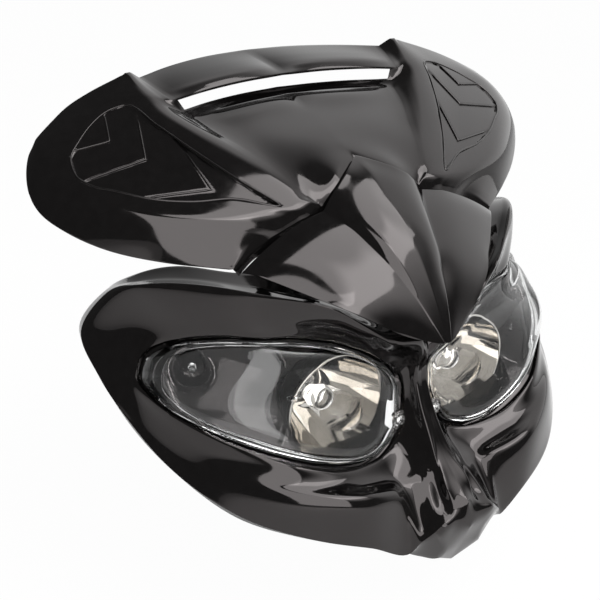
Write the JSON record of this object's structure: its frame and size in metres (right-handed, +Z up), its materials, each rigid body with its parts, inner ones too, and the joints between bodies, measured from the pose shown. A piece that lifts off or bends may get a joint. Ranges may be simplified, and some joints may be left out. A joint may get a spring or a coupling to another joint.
{
  "type": "motorcycle dual headlight",
  "caption": "Gloss black motorcycle headlight fairing with a wide cowl, a brow cover, a mask and a pair of swept clear lamps, on a rear steel bracket.",
  "frame": {"origin": "middle of the flat rear face of the mounting bracket, midway between its two ear slots", "axes": "+X to the side, along the width; +Y to the rear of the motorcycle, out of the bracket's rear face; +Z up. The lamps face -Y"},
  "size_m": [0.3914, 0.2624, 0.294],
  "materials": {
    "gloss_black": "gloss black moulded plastic",
    "clear_lens": "clear polycarbonate",
    "housing_black": "satin black plastic",
    "chrome": "vacuum metallised mirror",
    "bulb_glass": "clear glass",
    "bulb_metal": "bare pressed metal",
    "rubber": "matt black rubber",
    "zinc": "zinc plated",
    "bracket_paint": "satin black paint"
  },
  "bodies": {
    "root": {"top_cowl": "gloss_black", "brow_cover": "gloss_black", "mask_shell": "gloss_black", "lens_left": "clear_lens", "lens_right": "clear_lens", "lens_gasket_left": "rubber", "lens_gasket_right": "rubber", "lamp_housing_left": "housing_black", "lamp_housing_right": "housing_black", "reflector_left": "chrome", "reflector_right": "chrome", "bulb_left": "bulb_glass", "bulb_right": "bulb_glass", "bulb_cap_left": "bulb_metal", "bulb_cap_right": "bulb_metal", "rubber_boot_left": "rubber", "rubber_boot_right": "rubber", "lens_washer_left": "zinc", "lens_washer_right": "zinc", "lens_screw_left": "zinc", "lens_screw_right": "zinc", "position_cup_left": "housing_black", "position_cup_right": "housing_black", "position_bulb_left": "bulb_glass", "position_bulb_right": "bulb_glass", "position_socket_left": "rubber", "position_socket_right": "rubber", "mounting_bracket": "bracket_paint", "cowl_bolt_left": "zinc", "cowl_bolt_right": "zinc", "mask_bolt_left": "zinc", "mask_bolt_right": "zinc", "nose_bolt": "zinc"}
  },
  "joints": []
}
